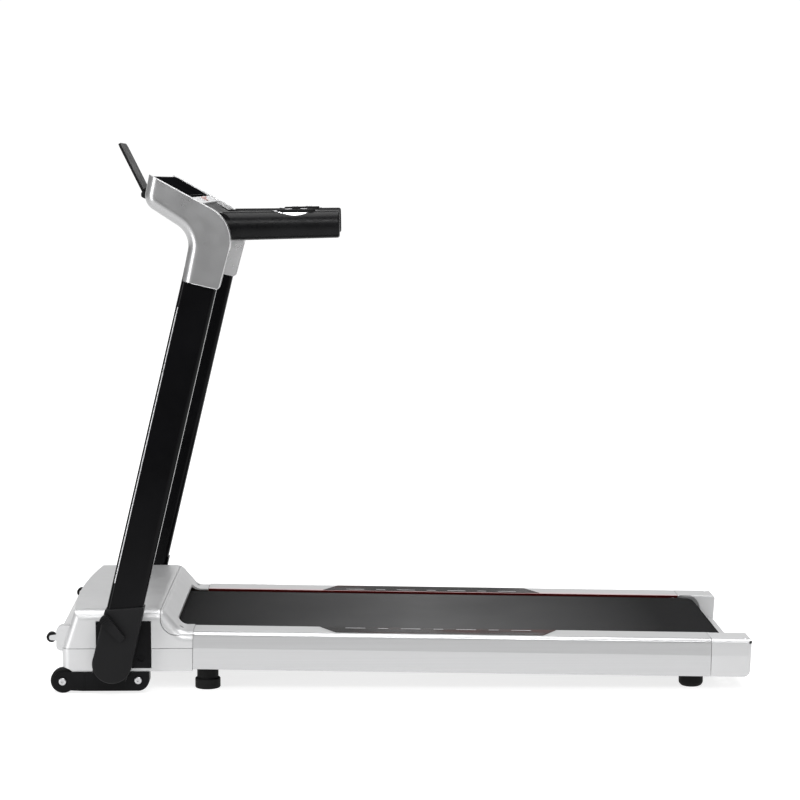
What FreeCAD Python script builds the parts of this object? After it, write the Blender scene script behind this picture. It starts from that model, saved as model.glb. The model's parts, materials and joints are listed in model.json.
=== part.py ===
"""Folding treadmill with a tilting handlebar, modelled as separate pieces.

Frame: +X runs from the motor hood to the rear, +Y to the user's right, +Z up.
The origin is on the floor, under the middle of the whole machine. Millimetres.
Pieces of the running deck are drawn level and then tilted down to the rear.
Pieces of the folding mast are drawn upright about the fold pivot and then leaned.
"""
import FreeCAD, Part
import math
import os
from FreeCAD import Vector

os.makedirs("parts", exist_ok=True)

# Driving dimensions: running deck
DECK_TILT = 1.05            # degrees, rear end lower
RAIL_FRONT = -411.0
RAIL_REAR = 623.0
RAIL_TOP = 124.0            # at the front end of the rails
RAIL_HEIGHT = 76.0
RAIL_INNER = 210.0
RAIL_OUTER = 284.5
RAIL_WALL = 2.5
REAR_END = 705.5
BELT_TOP = RAIL_TOP - 4.4
BELT_THICK = 1.8
BELT_HALF = 200.0
ROLLER_R = 24.5
ROLLER_HALF = 204.0
FRONT_ROLLER_X = -505.0
REAR_ROLLER_X = 640.0
ROLLER_Z = BELT_TOP - BELT_THICK - ROLLER_R
SHAFT_R = 7.5
RUNNING_GAP = 0.05
BOARD_THICK = 16.0
TUBE_Y0, TUBE_Y1 = 230.0, 262.0
TUBE_Z0, TUBE_Z1 = 56.0, 90.0
TUBE_FRONT, TUBE_REAR = -640.0, REAR_ROLLER_X + 4.0
BOARD_FRONT, BOARD_REAR = -465.0, 602.0
BOARD_HALF = 241.0
BOARD_TOP = BELT_TOP - BELT_THICK - 0.1

# Driving dimensions: motor hood
HOOD_TOP = 168.0
HOOD_SEAM = 90.0
HOOD_BOTTOM = 44.0
HOOD_HALF = 282.0
HOOD_FRONT = -672.0         # front corners, below the seam
HOOD_TOP_FRONT = -646.0     # front corners, at the top
HOOD_WALL = 3.0
GAP = 0.3
SEAM_GAP = 0.9
SHOULDER_R = 21.0
BEZEL_FRONT = -476.0
OPENING_FRONT = -447.0
OPENING_HALF = 204.0

# Driving dimensions: folding mast
LEAN = 13.35                # degrees from upright, towards the user
PIVOT_X, PIVOT_Z = -569.0, 67.5
PIVOT_R = 8.0
MAST_TUBE_W, MAST_TUBE_D = 70.0, 30.0
MAST_Y0 = 290.0
MAST_Y1 = MAST_Y0 + MAST_TUBE_D
COVER_Y0, COVER_Y1 = 286.0, 327.0
ARM_Y0, ARM_Y1 = 285.5, 330.0

# Driving dimensions: console and handlebar
SLOPE_X, SLOPE_Z = -487.0, 1029.0      # upper front end of the console's slope
SLOPE = 29.36               # degrees, falling towards the user
HANDLE_X, HANDLE_Z = -356.0, 927.5     # handlebar pivot
HANDLE_RISE = 1.0           # degrees, outer end higher
HANDLE_REACH = 238.0
HANDLE_Y = 245.0
HANDLE_TILT = 68.7
HANDLE_SHAFT_R = 9.0
HOLDER_X, HOLDER_Z = -518.0, 990.0     # tablet holder hinge

# Driving dimensions: wheels and feet
WHEEL_X, WHEEL_Z, WHEEL_R = -671.0, 25.0, 25.0
WHEEL_Y0, WHEEL_Y1 = 258.0, 279.0
BRACKET_Y0, BRACKET_Y1 = 252.0, 285.0
BRACKET_REAR, BRACKET_LOW = -499.0, 5.5
REAR_BOLT_X, REAR_BOLT_Z = -521.0, 27.0
STORE_X, STORE_Y, STORE_Z, STORE_R = -695.0, 255.0, 109.5, 10.0

Y_AXIS = Vector(0, 1, 0)


# Shape helpers

def box(x0, x1, y0, y1, z0, z1):
    return Part.makeBox(x1 - x0, y1 - y0, z1 - z0, Vector(x0, y0, z0))


def rod_y(x, z, r, y0, y1):
    return Part.makeCylinder(r, y1 - y0, Vector(x, y0, z), Y_AXIS)


def rod_z(x, y, r, z0, z1):
    return Part.makeCylinder(r, z1 - z0, Vector(x, y, z0))


def rod_x(y, z, r, x0, x1):
    return Part.makeCylinder(r, x1 - x0, Vector(x0, y, z), Vector(1, 0, 0))


def rounded_wire(corners):
    """Closed wire through (point, radius) corners, each rounded by its own radius."""
    edges = []
    starts, ends, middles = [], [], []
    count = len(corners)
    for i, (point, radius) in enumerate(corners):
        before = (corners[i - 1][0] - point).normalize()
        after = (corners[(i + 1) % count][0] - point).normalize()
        half = before.getAngle(after) / 2
        reach = radius / math.tan(half)
        starts.append(point + before * reach)
        ends.append(point + after * reach)
        bisector = (before + after).normalize()
        middles.append(point + bisector * (radius / math.sin(half) - radius))
    for i in range(count):
        if corners[i][1] > 0:
            edges.append(Part.Arc(starts[i], middles[i], ends[i]).toShape())
        following = starts[(i + 1) % count]
        if (following - ends[i]).Length > 1e-6:
            edges.append(Part.LineSegment(ends[i], following).toShape())
    return Part.Wire(edges)


def plate_xz(outline, y0, y1):
    """Plate with an outline of (x, z, corner radius), from y0 to y1."""
    corners = [(Vector(x, y0, z), r) for x, z, r in outline]
    return Part.Face(rounded_wire(corners)).extrude(Vector(0, y1 - y0, 0))


def plate_yz(outline, x0, x1):
    corners = [(Vector(x0, y, z), r) for y, z, r in outline]
    return Part.Face(rounded_wire(corners)).extrude(Vector(x1 - x0, 0, 0))


def plate_xy(outline, z0, z1):
    corners = [(Vector(x, y, z0), r) for x, y, r in outline]
    return Part.Face(rounded_wire(corners)).extrude(Vector(0, 0, z1 - z0))


def turned(shape, x, z, degrees):
    """The shape turned about a line along Y; positive lowers its +X end."""
    copy = shape.copy()
    copy.rotate(Vector(x, 0, z), Y_AXIS, degrees)
    return copy


def deck(shape):
    return turned(shape, RAIL_FRONT, RAIL_TOP, DECK_TILT)


def deck_point(x, z):
    """Place (x, z) on the tilted deck of a point drawn level."""
    across, up = x - RAIL_FRONT, z - RAIL_TOP
    sine, cosine = math.sin(math.radians(DECK_TILT)), math.cos(math.radians(DECK_TILT))
    return RAIL_FRONT + across * cosine + up * sine, RAIL_TOP - across * sine + up * cosine


def leaned(shape):
    """A mast piece, drawn upright over the fold pivot, in its leaning place."""
    copy = shape.copy()
    copy.translate(Vector(PIVOT_X, 0, PIVOT_Z))
    return turned(copy, PIVOT_X, PIVOT_Z, LEAN)


def mirrored(shape):
    return shape.mirror(Vector(0, 0, 0), Y_AXIS)


def cut(shape, *tools):
    for tool in tools:
        shape = shape.cut(tool)
    return shape


def outer_edges(shape, y, test=lambda centre: True):
    """Edges lying in the plane at y whose centre passes the test."""
    return [e for e in shape.Edges
            if abs(e.BoundBox.YMin - y) < 1e-3 and abs(e.BoundBox.YMax - y) < 1e-3
            and test(e.CenterOfMass)]


def save(name, *shapes):
    solids = [solid for shape in shapes for solid in shape.Solids]
    node = solids[0] if len(solids) == 1 else Part.makeCompound(solids)
    node.exportStep("parts/" + name + ".step")
    print(name, len(solids), round(node.Volume / 1000, 1), node.isValid())


def save_pair(name, right):
    """A piece and its mirror image as one node each, named by the user's side."""
    save(name + "_right", right)
    save(name + "_left", mirrored(right))


def save_both(name, right):
    """A piece and its mirror image in one node."""
    save(name, right, mirrored(right))


# Running deck

def rail_section(z_bottom):
    """Outer line of the side rail's section as (y, z, radius), top inner corner first."""
    return [(RAIL_INNER, RAIL_TOP, 1.5),
            (RAIL_OUTER - 2.0, RAIL_TOP, 9.0),
            (RAIL_OUTER, RAIL_TOP - 33.0, 2.0),
            (RAIL_OUTER - 1.6, z_bottom, 2.0),
            (RAIL_INNER, z_bottom, 1.5)]


def side_rail():
    bottom = RAIL_TOP - RAIL_HEIGHT
    rail = plate_yz(rail_section(bottom), RAIL_FRONT, RAIL_REAR)
    inside = plate_yz([(RAIL_INNER + RAIL_WALL, RAIL_TOP - RAIL_WALL, 0.5),
                       (RAIL_OUTER - 5.5, RAIL_TOP - RAIL_WALL, 6.0),
                       (RAIL_OUTER - RAIL_WALL, RAIL_TOP - 33.0, 1.0),
                       (RAIL_OUTER - 4.0, bottom + RAIL_WALL, 0.5),
                       (RAIL_INNER + RAIL_WALL, bottom + RAIL_WALL, 0.5)],
                      RAIL_FRONT - 1, RAIL_REAR + 1)
    lip_bottom = RAIL_TOP - 5.5
    open_side = box(RAIL_FRONT - 1, RAIL_REAR + 1, RAIL_INNER - 1, RAIL_OUTER - 14.0,
                    bottom - 1, lip_bottom)
    groove_y = RAIL_OUTER - 11.5
    groove = plate_yz([(groove_y - 0.9, RAIL_TOP + 0.1, 0), (groove_y + 0.9, RAIL_TOP + 0.1, 0),
                       (groove_y, RAIL_TOP - 1.0, 0)], RAIL_FRONT - 1, RAIL_REAR + 1)
    return deck(cut(rail, inside, open_side, groove))


def grip_strip():
    """Thin anti-slip strip on a rail's top, with slanted ends."""
    inner, outer = RAIL_INNER + 2.0, RAIL_OUTER - 13.5
    outline = [(-160.0, inner, 1), (318.0, inner, 1), (287.0, outer, 3), (-127.0, outer, 3)]
    return deck(plate_xy(outline, RAIL_TOP, RAIL_TOP + 0.6))


def frame_tubes():
    """Welded steel frame as two long tubes and the cross tubes between them."""
    wall = 2.0
    side = cut(box(TUBE_FRONT, TUBE_REAR, TUBE_Y0, TUBE_Y1, TUBE_Z0, TUBE_Z1),
               box(TUBE_FRONT - 1, TUBE_REAR + 1, TUBE_Y0 + wall, TUBE_Y1 - wall,
                   TUBE_Z0 + wall, TUBE_Z1 - wall),
               rod_y(FRONT_ROLLER_X, ROLLER_Z, SHAFT_R, TUBE_Y0 - 1, TUBE_Y1 + 1),
               rod_y(REAR_ROLLER_X, ROLLER_Z, SHAFT_R, TUBE_Y0 - 1, TUBE_Y1 + 1))
    tubes = [side, mirrored(side)]
    cross_z1 = ROLLER_Z - ROLLER_R - 4.0
    for x, depth in ((TUBE_FRONT, 30), (-440, 30), (-180, 25), (80, 25), (340, 25), (560, 25)):
        low = TUBE_Z0 if depth == 30 else TUBE_Z0 + 1.0
        high = cross_z1
        outer = box(x, x + depth, -TUBE_Y0, TUBE_Y0, low, high)
        inner = box(x + wall, x + depth - wall, -TUBE_Y0 - 1, TUBE_Y0 + 1, low + wall, high - wall)
        tubes.append(outer.cut(inner))
    return [deck(tube) for tube in tubes]


def deck_board():
    return deck(box(BOARD_FRONT, BOARD_REAR, -BOARD_HALF, BOARD_HALF, BOARD_TOP - BOARD_THICK, BOARD_TOP))


def deck_cushions():
    """Rubber pads between the side frames and the running board."""
    pads = []
    for x in (-420, -200, 20, 240, 460, 575):
        pads.append(box(x - 22, x + 22, TUBE_Y0 + 1, BOARD_HALF, TUBE_Z1, BOARD_TOP - BOARD_THICK))
    return [deck(pad) for pad in pads] + [deck(mirrored(pad)) for pad in pads]


def loop_wire(x1, z1, r1, x2, z2, r2, y):
    """Outline of a belt round two pulleys, seen along Y."""
    away = Vector(x2 - x1, 0, z2 - z1)
    turn = math.atan2(away.z, away.x)
    lift = math.acos((r1 - r2) / away.Length)

    def on(x, z, r, angle):
        return Vector(x + r * math.cos(angle), y, z + r * math.sin(angle))

    upper1, lower1 = on(x1, z1, r1, turn + lift), on(x1, z1, r1, turn - lift)
    upper2, lower2 = on(x2, z2, r2, turn + lift), on(x2, z2, r2, turn - lift)
    far1 = on(x1, z1, r1, turn + math.pi)
    far2 = on(x2, z2, r2, turn)
    return Part.Wire([Part.Arc(upper1, far1, lower1).toShape(),
                      Part.LineSegment(lower1, lower2).toShape(),
                      Part.Arc(lower2, far2, upper2).toShape(),
                      Part.LineSegment(upper2, upper1).toShape()])


def belt_loop(x1, z1, r1, x2, z2, r2, thick, y0, y1):
    outer = Part.Face(loop_wire(x1, z1, r1 + thick, x2, z2, r2 + thick, y0))
    inner = Part.Face(loop_wire(x1, z1, r1, x2, z2, r2, y0))
    return outer.cut(inner).extrude(Vector(0, y1 - y0, 0))


def running_belt():
    gap = 0.1
    return deck(belt_loop(FRONT_ROLLER_X, ROLLER_Z, ROLLER_R + gap,
                          REAR_ROLLER_X, ROLLER_Z, ROLLER_R + gap,
                          BELT_THICK, -BELT_HALF, BELT_HALF))


def roller(x):
    """Steel roller with a bearing pressed into each end; bores run on the shaft."""
    wall = 3.0
    tube = cut(rod_y(x, ROLLER_Z, ROLLER_R, -ROLLER_HALF, ROLLER_HALF),
               rod_y(x, ROLLER_Z, ROLLER_R - wall, -ROLLER_HALF - 1, ROLLER_HALF + 1))
    bearing = cut(rod_y(x, ROLLER_Z, ROLLER_R - wall, ROLLER_HALF - 14, ROLLER_HALF - 2),
                  rod_y(x, ROLLER_Z, SHAFT_R + RUNNING_GAP, ROLLER_HALF - 15, ROLLER_HALF))
    return deck(tube), [deck(bearing), deck(mirrored(bearing))]


def roller_shafts():
    front = rod_y(FRONT_ROLLER_X, ROLLER_Z, SHAFT_R, -TUBE_Y1, TUBE_Y1)
    rear = rod_y(REAR_ROLLER_X, ROLLER_Z, SHAFT_R, -TUBE_Y1, TUBE_Y1)
    return [deck(front), deck(rear)]


REAR_BAR_FRONT = REAR_ROLLER_X + ROLLER_R + BELT_THICK + 6.0
REAR_BAR_TOP = 79.0
POCKET_R = 33.0


def rear_cover():
    """Rear end cover: a cap over each rail end, joined by a low bar behind the roller."""
    bottom = RAIL_TOP - RAIL_HEIGHT
    start = RAIL_REAR + SEAM_GAP
    cap = plate_yz(rail_section(bottom), start, REAR_END)
    end_form = plate_xz([(start, bottom, 0), (REAR_END - 3.5, bottom, 15.0),
                         (REAR_END, RAIL_TOP, 5.0), (start, RAIL_TOP, 0)],
                        -RAIL_OUTER - 1, RAIL_OUTER + 1)
    plan_form = plate_xy([(start - 1, 190, 0), (start - 1, 300, 0),
                          (REAR_END, RAIL_OUTER + 0.3, 16.0), (REAR_END, 190, 12.0)],
                         bottom - 1, RAIL_TOP + 1)
    cap = cap.common(end_form).common(plan_form)
    hollow = box(start - 1, REAR_END - 8, RAIL_INNER + 3.5, RAIL_OUTER - 6.0,
                 bottom - 1, RAIL_TOP - 3.0)
    screw_sink = Part.makeCone(5.5, 3.0, 3.0, Vector(REAR_END - 14, RAIL_OUTER - 13, RAIL_TOP + 0.1),
                               Vector(0, 0, -1))
    pocket = rod_y(REAR_ROLLER_X, ROLLER_Z, POCKET_R, RAIL_INNER - 3, RAIL_INNER + 4)
    ring = cut(rod_y(REAR_ROLLER_X, ROLLER_Z, POCKET_R + 2.0, RAIL_INNER - 1.2, RAIL_INNER + 1),
               box(0, start, 0, 300, 0, 200), box(0, 700, 0, 300, RAIL_TOP - 4, 200))
    cap = cut(cap.fuse(ring), hollow, pocket, screw_sink).removeSplitter()
    bar = plate_xz([(REAR_BAR_FRONT, bottom, 1), (REAR_END - 3.5, bottom, 15.0),
                    (REAR_END - 1.5, REAR_BAR_TOP - 4.0, 6.0), (REAR_BAR_FRONT, REAR_BAR_TOP, 3.0)],
                   -RAIL_INNER - 1, RAIL_INNER + 1)
    bar_hollow = box(REAR_BAR_FRONT + 3, REAR_END - 8, -RAIL_INNER - 4, RAIL_INNER + 4,
                     bottom - 1, REAR_BAR_TOP - 8.0)
    cover = cap.fuse(mirrored(cap)).fuse(bar).cut(bar_hollow).removeSplitter()
    return deck(cover)


def tension_bolts():
    """Belt tension bolts: from the rear cover's face forward to the rear shaft."""
    y = (RAIL_INNER + TUBE_Y1) / 2
    bolt = rod_x(y, ROLLER_Z, 4.0, REAR_ROLLER_X + SHAFT_R, REAR_END - 8.0)
    return [deck(bolt), deck(mirrored(bolt))]


# Drive inside the hood

MOTOR_X, MOTOR_Z, MOTOR_R = -612.0, 112.0, 38.0
MOUNT_TOP = 73.2
PULLEY_Y0, PULLEY_Y1 = -226.0, -208.0
ROLLER_PULLEY_R, MOTOR_PULLEY_R = 33.0, 13.0
FRONT_AXIS_X, FRONT_AXIS_Z = deck_point(FRONT_ROLLER_X, ROLLER_Z)


def grooved_pulley(x, z, r, bore):
    pulley = rod_y(x, z, r, PULLEY_Y0, PULLEY_Y1)
    for i in range(5):
        y = PULLEY_Y0 + 4.0 + i * 2.5
        ring = cut(rod_y(x, z, r + 1, y - 0.6, y + 0.6), rod_y(x, z, r - 1.6, y - 1, y + 1))
        pulley = pulley.cut(ring)
    return pulley.cut(rod_y(x, z, bore, PULLEY_Y0 - 1, PULLEY_Y1 + 1))


def motor_case():
    case = cut(rod_y(MOTOR_X, MOTOR_Z, MOTOR_R, -165, -25),
               rod_y(MOTOR_X, MOTOR_Z, MOTOR_R - 3, -162, -28),
               rod_y(MOTOR_X, MOTOR_Z, 8.0 + RUNNING_GAP, -170, -150))
    return case


def motor_rotor():
    """Motor shaft with its armature, flywheel and drive pulley."""
    shaft = rod_y(MOTOR_X, MOTOR_Z, 8.0, -229, -40)
    armature = cut(rod_y(MOTOR_X, MOTOR_Z, MOTOR_R - 6, -150, -45), shaft)
    flywheel = cut(rod_y(MOTOR_X, MOTOR_Z, 36.0, -200, -180), shaft)
    return shaft, armature, flywheel, grooved_pulley(MOTOR_X, MOTOR_Z, MOTOR_PULLEY_R, 8.0)


def roller_pulley():
    """Large drive pulley with the hub that joins it to the front roller."""
    bore = SHAFT_R + 0.5
    pulley = grooved_pulley(FRONT_AXIS_X, FRONT_AXIS_Z, ROLLER_PULLEY_R, bore)
    hub = cut(rod_y(FRONT_AXIS_X, FRONT_AXIS_Z, 14, PULLEY_Y1, -ROLLER_HALF + 2),
              rod_y(FRONT_AXIS_X, FRONT_AXIS_Z, bore, PULLEY_Y1 - 1, -ROLLER_HALF + 3))
    return pulley.fuse(hub).removeSplitter()


def motor_mount():
    cradle = cut(box(MOTOR_X - 40, MOTOR_X + 40, -160, -30, MOUNT_TOP, MOTOR_Z - 12),
                 rod_y(MOTOR_X, MOTOR_Z, MOTOR_R, -170, -20),
                 box(MOTOR_X - 30, MOTOR_X + 30, -150, -40, MOUNT_TOP - 1, MOTOR_Z - 12))
    plate = box(-654, -560, -229, 229, MOUNT_TOP - 4, MOUNT_TOP)
    return cradle.fuse(plate).removeSplitter()


def motor_controller():
    """Circuit board in a finned aluminium tray."""
    fin_low, fin_high = MOUNT_TOP + 13.0, MOUNT_TOP + 31.0
    tray = box(-650, -565, 30, 190, MOUNT_TOP, fin_low)
    fins = [box(-650 + i * 9, -647 + i * 9, 30, 190, fin_low, fin_high) for i in range(10)]
    return tray.multiFuse(fins).removeSplitter()


# Motor hood

def hood_plan(z, front, bow, inset):
    """Closed plan line of the hood at height z, its front bowed forward."""
    half = HOOD_HALF - inset
    corner = 16.0
    x_front = front + inset
    rear = RAIL_FRONT + (5.0 if inset else 4.0)
    nose = Vector(x_front - bow, 0, z)
    left_front, right_front = Vector(x_front, -half + corner, z), Vector(x_front, half - corner, z)
    left_side, right_side = Vector(x_front + corner, -half, z), Vector(x_front + corner, half, z)
    blend = corner * (1 - math.sqrt(0.5))
    left_mid = Vector(x_front + blend, -half + blend, z)
    right_mid = Vector(x_front + blend, half - blend, z)
    left_rear, right_rear = Vector(rear, -half, z), Vector(rear, half, z)
    return Part.Wire([Part.Arc(right_front, nose, left_front).toShape(),
                      Part.Arc(left_front, left_mid, left_side).toShape(),
                      Part.LineSegment(left_side, left_rear).toShape(),
                      Part.LineSegment(left_rear, right_rear).toShape(),
                      Part.LineSegment(right_rear, right_side).toShape(),
                      Part.Arc(right_side, right_mid, right_front).toShape()])


def hood_form(inset):
    """Solid hood shape: bowed front, flat top, and an S curve down to the rails."""
    body = Part.makeLoft([hood_plan(HOOD_BOTTOM + inset, HOOD_FRONT, 8.0, inset),
                          hood_plan(HOOD_SEAM, HOOD_FRONT, 29.0, inset),
                          hood_plan(HOOD_TOP + 2, HOOD_TOP_FRONT, 13.0, inset)], True, True)
    low, high = RAIL_TOP + 0.3 - inset, HOOD_TOP - inset
    half = HOOD_HALF - inset
    rear, front = RAIL_FRONT + 8, HOOD_FRONT - 60
    profile = plate_xz([(front, HOOD_BOTTOM - 5, 0), (front, high, 0),
                        (-474.0 - inset, high, 26.0), (-436.0 - inset, low, 24.0),
                        (rear, low, 0), (rear, HOOD_BOTTOM - 5, 0)], -half, half)
    shoulders = [e for e in profile.Edges
                 if e.BoundBox.ZMin > low - 2 and e.BoundBox.YLength < 0.5]
    profile = profile.makeFillet(SHOULDER_R - inset, shoulders)
    return body.common(profile)


def bezel_zone(offset):
    """Everything behind the bead line that wraps over the hood's rear shoulder."""
    line = 116.5 - offset
    front = BEZEL_FRONT - offset
    return plate_xz([(front, 190, 0), (front, line, 34.0), (RAIL_FRONT + 10, line, 0),
                     (RAIL_FRONT + 10, 190, 0)], -HOOD_HALF - 10, HOOD_HALF + 10)


PLATE_X0, PLATE_X1 = -604.0, -495.0
PLATE_Z0, PLATE_Z1 = 51.0, 145.0


def hood_pieces():
    shell = hood_form(0).cut(hood_form(HOOD_WALL))
    shell = shell.cut(box(HOOD_FRONT + 40, RAIL_FRONT + 5, -OPENING_HALF, OPENING_HALF,
                          HOOD_BOTTOM - 5, HOOD_SEAM - 20))
    pocket = box(PLATE_X0 - 0.5, PLATE_X1 + 0.5, HOOD_HALF - 20, HOOD_HALF + 5,
                 PLATE_Z0 - 0.5, PLATE_Z1 + 0.5)
    rail_side = deck(box(RAIL_FRONT - SEAM_GAP, RAIL_FRONT + 60, -300, 300, 0, 200))
    wheel_well = rod_y(WHEEL_X, WHEEL_Z, WHEEL_R + 2, WHEEL_Y0 - 2, HOOD_HALF + 1)
    shell = cut(shell, pocket, mirrored(pocket), rail_side, wheel_well, mirrored(wheel_well))
    above = box(-720, -400, -300, 300, HOOD_SEAM + SEAM_GAP / 2, 200)
    below = box(-720, -400, -300, 300, 0, HOOD_SEAM - SEAM_GAP / 2)
    bezel = shell.common(bezel_zone(0)).common(above)
    opening = plate_xy([(OPENING_FRONT, -OPENING_HALF, 14), (RAIL_FRONT + 20, -OPENING_HALF, 0),
                        (RAIL_FRONT + 20, OPENING_HALF, 0), (OPENING_FRONT, OPENING_HALF, 14)],
                       60, 200)
    bead = cut(bezel_zone(-1.2), bezel_zone(-3.4)).common(hood_form(-0.7))
    bezel = bezel.fuse(cut(bead, hood_form(HOOD_WALL / 2), rail_side).common(above))
    bezel = bezel.removeSplitter().cut(opening)
    for side in (-1, 1):
        bezel = bezel.cut(rod_z(-437, side * 245, 4.6, 100, 160))
    upper = cut(shell.common(above), bezel_zone(SEAM_GAP), opening)
    lower = shell.common(below)
    panel_hole = box(-720, -660, 98, 202, 50, 84)
    return upper, lower.cut(panel_hole), bezel


def hood_screws():
    """Countersunk screws that hold the rear bezel."""
    screws = []
    for side in (-1, 1):
        shank = rod_z(-437, side * 245, 3.0, 105, 122)
        head = rod_z(-437, side * 245, 4.5, 122, 126)
        slot_x = box(-440, -434, side * 245 - 0.6, side * 245 + 0.6, 124.5, 127)
        slot_y = box(-437.6, -436.4, side * 245 - 3, side * 245 + 3, 124.5, 127)
        screws.append(cut(shank.fuse(head), slot_x, slot_y))
    return screws


PANEL_X0, PANEL_X1 = -684.0, -680.0


def power_inlet():
    """Power panel with a three-pin inlet socket; windows for switch and breaker."""
    panel = box(PANEL_X0, PANEL_X1, 99, 201, 51, 83)
    socket = cut(box(PANEL_X1, PANEL_X1 + 20, 106, 138, 55, 80))
    recess = box(PANEL_X0 - 1, PANEL_X1 + 16, 109.5, 134.5, 59, 76)
    body = cut(panel.fuse(socket), recess,
               box(PANEL_X0 - 1, PANEL_X1 + 1, 149.7, 164.3, 55.7, 78.3),
               rod_x(183, 67, 6.3, PANEL_X0 - 1, PANEL_X1 + 1)).removeSplitter()
    pins = [box(PANEL_X1 + 4, PANEL_X1 + 17, y - 1, y + 1, z - 2, z + 2)
            for y, z in ((115, 65.5), (129, 65.5), (122, 70.5))]
    return body.multiFuse(pins).removeSplitter()


ROCKER_X, ROCKER_Y, ROCKER_Z = PANEL_X0 + 1.0, 157.0, 67.0
ROCKER_HALF = 6.8
ROCKER_AXIS_X = ROCKER_X + 2.0


def power_rocker():
    """Rocker with a shallow V face and a round back, turning on a line along Y."""
    paddle = plate_xz([(ROCKER_X - 3.4, ROCKER_Z - 10.5, 0.5), (ROCKER_X - 1.0, ROCKER_Z, 2.0),
                       (ROCKER_X - 3.4, ROCKER_Z + 10.5, 0.5), (ROCKER_X + 2.5, ROCKER_Z + 9.0, 0.5),
                       (ROCKER_X + 6.0, ROCKER_Z, 2.0), (ROCKER_X + 2.5, ROCKER_Z - 9.0, 0.5)],
                      ROCKER_Y - ROCKER_HALF, ROCKER_Y + ROCKER_HALF)
    back = rod_y(ROCKER_AXIS_X, ROCKER_Z, 5.2, ROCKER_Y - ROCKER_HALF, ROCKER_Y + ROCKER_HALF)
    front_half = box(ROCKER_AXIS_X - 10, ROCKER_AXIS_X, ROCKER_Y - 10, ROCKER_Y + 10, 55, 80)
    return paddle.fuse(back.cut(front_half)).removeSplitter()


def breaker_button():
    button = rod_x(183, 67, 5.8, PANEL_X0 - 5, PANEL_X1 + 3)
    return button.makeFillet(0.8, [e for e in button.Edges if e.BoundBox.XMax < PANEL_X0 - 4])


# Fold pivots, wheels and feet

def pivot_plate():
    plate = plate_xz([(PLATE_X0, PLATE_Z0, 8), (PLATE_X1, PLATE_Z0, 3),
                      (PLATE_X1, PLATE_Z1, 3), (PLATE_X0, PLATE_Z1, 8)], 278, 284)
    stem = box(PLATE_X0 + 8, PLATE_X1 - 8, TUBE_Y1, 278, 66, 86)
    ridge = box(PLATE_X1 - 5, PLATE_X1 - 2, 284, 285.2, PLATE_Z0 + 3, PLATE_Z1 - 3)
    plate = plate.fuse(stem).fuse(ridge)
    return cut(plate, rod_y(PIVOT_X, PIVOT_Z, PIVOT_R + 0.02, 260, 290),
               rod_y(-515, 72, 8.0, 281, 290)).removeSplitter()


def pivot_bolt():
    bolt = rod_y(PIVOT_X, PIVOT_Z, PIVOT_R, TUBE_Y1, 321)
    head = rod_y(PIVOT_X, PIVOT_Z, 13.0, 321, 324)
    spacer = cut(rod_y(PIVOT_X, PIVOT_Z, 14.0, 284, 289.6), bolt)
    return bolt.fuse(head).fuse(spacer).removeSplitter()


def wheel_bracket():
    top = HOOD_BOTTOM
    body = plate_xz([(-633, BRACKET_LOW, 2), (BRACKET_REAR, BRACKET_LOW, 22),
                     (BRACKET_REAR, top, 0), (-633, top, 0)], BRACKET_Y0, BRACKET_Y1)
    cheek_outline = [(WHEEL_X - 17, WHEEL_Z - 17, 16.5), (-630, BRACKET_LOW, 0),
                     (-630, top, 0), (WHEEL_X - 17, top, 16.5)]
    outer = plate_xz(cheek_outline, BRACKET_Y1 - 5, BRACKET_Y1)
    inner = plate_xz(cheek_outline, BRACKET_Y0, BRACKET_Y0 + 5)
    bracket = body.fuse(outer).fuse(inner)
    hollow = box(-633 - 1, -633 + 11, BRACKET_Y0 + 5, BRACKET_Y1 - 5, 0, top + 1)
    joint_groove = box(-627.4, -626.6, BRACKET_Y1 - 0.8, BRACKET_Y1 + 1, 0, top + 1)
    return cut(bracket, hollow, rod_y(WHEEL_X, WHEEL_Z, 4.0, BRACKET_Y0 - 1, BRACKET_Y1 + 1),
               rod_y(REAR_BOLT_X, REAR_BOLT_Z, 4.0, BRACKET_Y0 - 1, BRACKET_Y1 + 1),
               joint_groove).removeSplitter()


def hex_bolt(x, z, y_head, y_end):
    """Button-head bolt along Y with a hexagon socket."""
    head = rod_y(x, z, 7.5, y_head, y_head + 4.5)
    head = head.makeFillet(2.2, [e for e in head.Edges if e.BoundBox.YMin > y_head + 4])
    corners = [Vector(x + 3 * math.cos(a * math.pi / 3), y_head + 1.5, z + 3 * math.sin(a * math.pi / 3))
               for a in range(6)]
    socket = Part.Face(Part.makePolygon(corners + corners[:1])).extrude(Vector(0, 5, 0))
    shank = rod_y(x, z, 4.0, y_end, y_head)
    return head.fuse(shank).cut(socket)


def transport_wheel():
    width = WHEEL_Y1 - WHEEL_Y0
    tyre = rod_y(WHEEL_X, WHEEL_Z, WHEEL_R, WHEEL_Y0, WHEEL_Y1)
    rims = [e for e in tyre.Edges if e.BoundBox.YLength < 0.1]
    tyre = tyre.makeFillet(3.5, rims)
    dish = cut(rod_y(WHEEL_X, WHEEL_Z, 18, WHEEL_Y1 - 3, WHEEL_Y1 + 1),
               rod_y(WHEEL_X, WHEEL_Z, 8, WHEEL_Y1 - 4, WHEEL_Y1 + 2))
    bore = rod_y(WHEEL_X, WHEEL_Z, 4.0 + RUNNING_GAP, WHEEL_Y0 - 1, WHEEL_Y0 + width + 1)
    return cut(tyre, dish, bore)


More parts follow.
